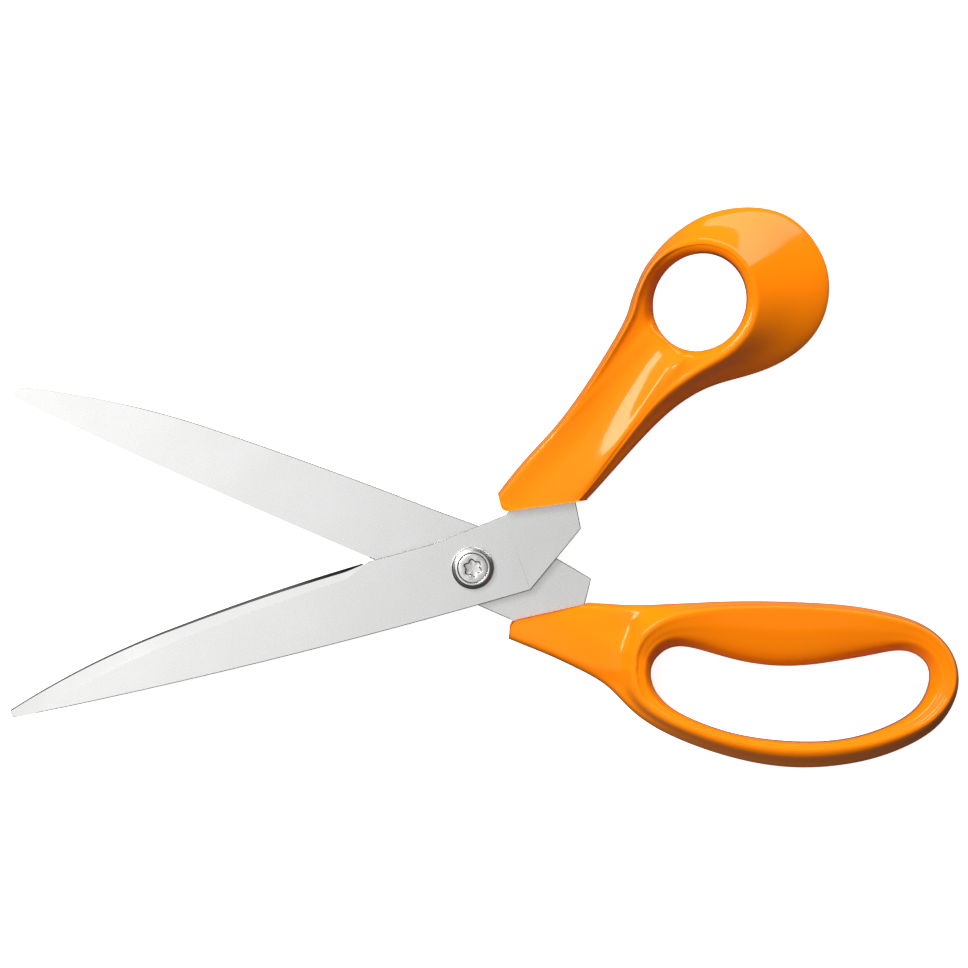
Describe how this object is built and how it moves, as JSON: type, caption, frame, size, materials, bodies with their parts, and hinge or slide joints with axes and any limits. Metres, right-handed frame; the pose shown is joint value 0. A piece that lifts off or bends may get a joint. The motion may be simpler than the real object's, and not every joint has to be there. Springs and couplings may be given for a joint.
{
  "type": "fabric shears",
  "caption": "Dressmaking shears standing open: long steel blades on an adjustable pivot, a dished thumb handle with a flared bell and a long finger bow, moulded in glossy orange plastic.",
  "frame": {"origin": "centre of the pivot nut's flat back face, on the pivot axis", "axes": "+Z along the pivot axis from the nut towards the screw head; the blades point to -X and the handles to +X, with the thumb handle on the +Y side; the shears lie open in the XY plane"},
  "size_m": [0.2588, 0.1533, 0.0176],
  "materials": {
    "blade_steel": "ground stainless steel",
    "handle_plastic": "glossy moulded orange",
    "pivot_steel": "satin turned steel",
    "glide_plastic": "matt white"
  },
  "bodies": {
    "finger_half": {"back_blade": "blade_steel", "finger_handle": "handle_plastic", "pivot_nut": "pivot_steel", "spring_washer": "pivot_steel", "glide_washer": "glide_plastic", "pivot_collar": "pivot_steel", "pivot_screw": "pivot_steel"},
    "thumb_half": {"front_blade": "blade_steel", "thumb_handle": "handle_plastic"}
  },
  "joints": [
    {"name": "pivot", "type": "hinge", "parent": "finger_half", "child": "thumb_half", "pos_m": [0, 0, 0.005], "axis": [0, 0, 1], "range_deg": [-38, 54]}
  ]
}
